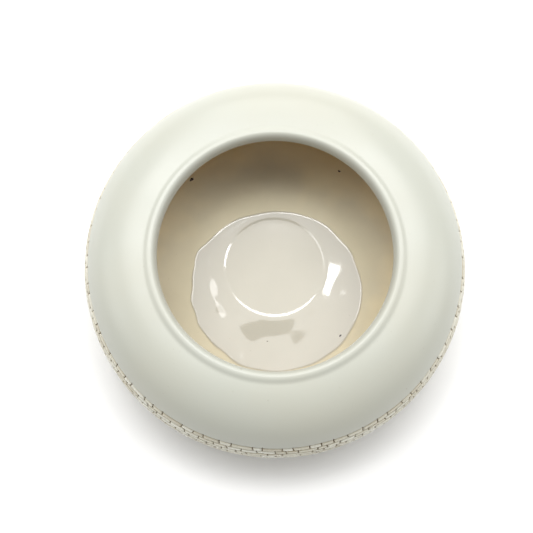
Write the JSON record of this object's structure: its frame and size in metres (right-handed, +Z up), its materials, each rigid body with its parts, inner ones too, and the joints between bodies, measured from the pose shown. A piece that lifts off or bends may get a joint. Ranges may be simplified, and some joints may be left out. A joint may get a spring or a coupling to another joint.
{
  "type": "yarn bowl",
  "caption": "Low, wide, closed glazed ceramic bowl with a round-lipped mouth, glaze pooled on its floor, small raised bricks round the lower wall and a turned foot, for holding a ball of yarn.",
  "frame": {"origin": "middle of the circle that the foot ring stands on, on the table's surface", "axes": "+Z up along the bowl's axis of turning, out of the mouth; +X and +Y are level, and the bowl is the same all round"},
  "size_m": [0.203, 0.203, 0.0672],
  "materials": {
    "stoneware": "bare, fine-grained, matt",
    "white_glaze": "smooth warm white glaze, satin to glossy",
    "lining_glaze": "cream glaze, satin on the walls, wet-looking where it pooled on the floor, browner under the lip",
    "brick_slip": "white glaze over raised slip, satin"
  },
  "bodies": {
    "root": {"clay_body": "stoneware", "inner_glaze": "lining_glaze", "outer_glaze": "white_glaze", "brick_course_01": "brick_slip", "brick_course_02": "brick_slip", "brick_course_03": "brick_slip", "brick_course_04": "brick_slip", "brick_course_05": "brick_slip", "brick_course_06": "brick_slip", "brick_course_07": "brick_slip", "brick_course_08": "brick_slip", "brick_course_09": "brick_slip", "brick_course_10": "brick_slip", "brick_course_11": "brick_slip", "brick_course_12": "brick_slip", "brick_course_13": "brick_slip", "brick_course_14": "brick_slip", "brick_course_15": "brick_slip", "brick_course_16": "brick_slip", "brick_course_17": "brick_slip", "base_glaze": "white_glaze"}
  },
  "joints": []
}
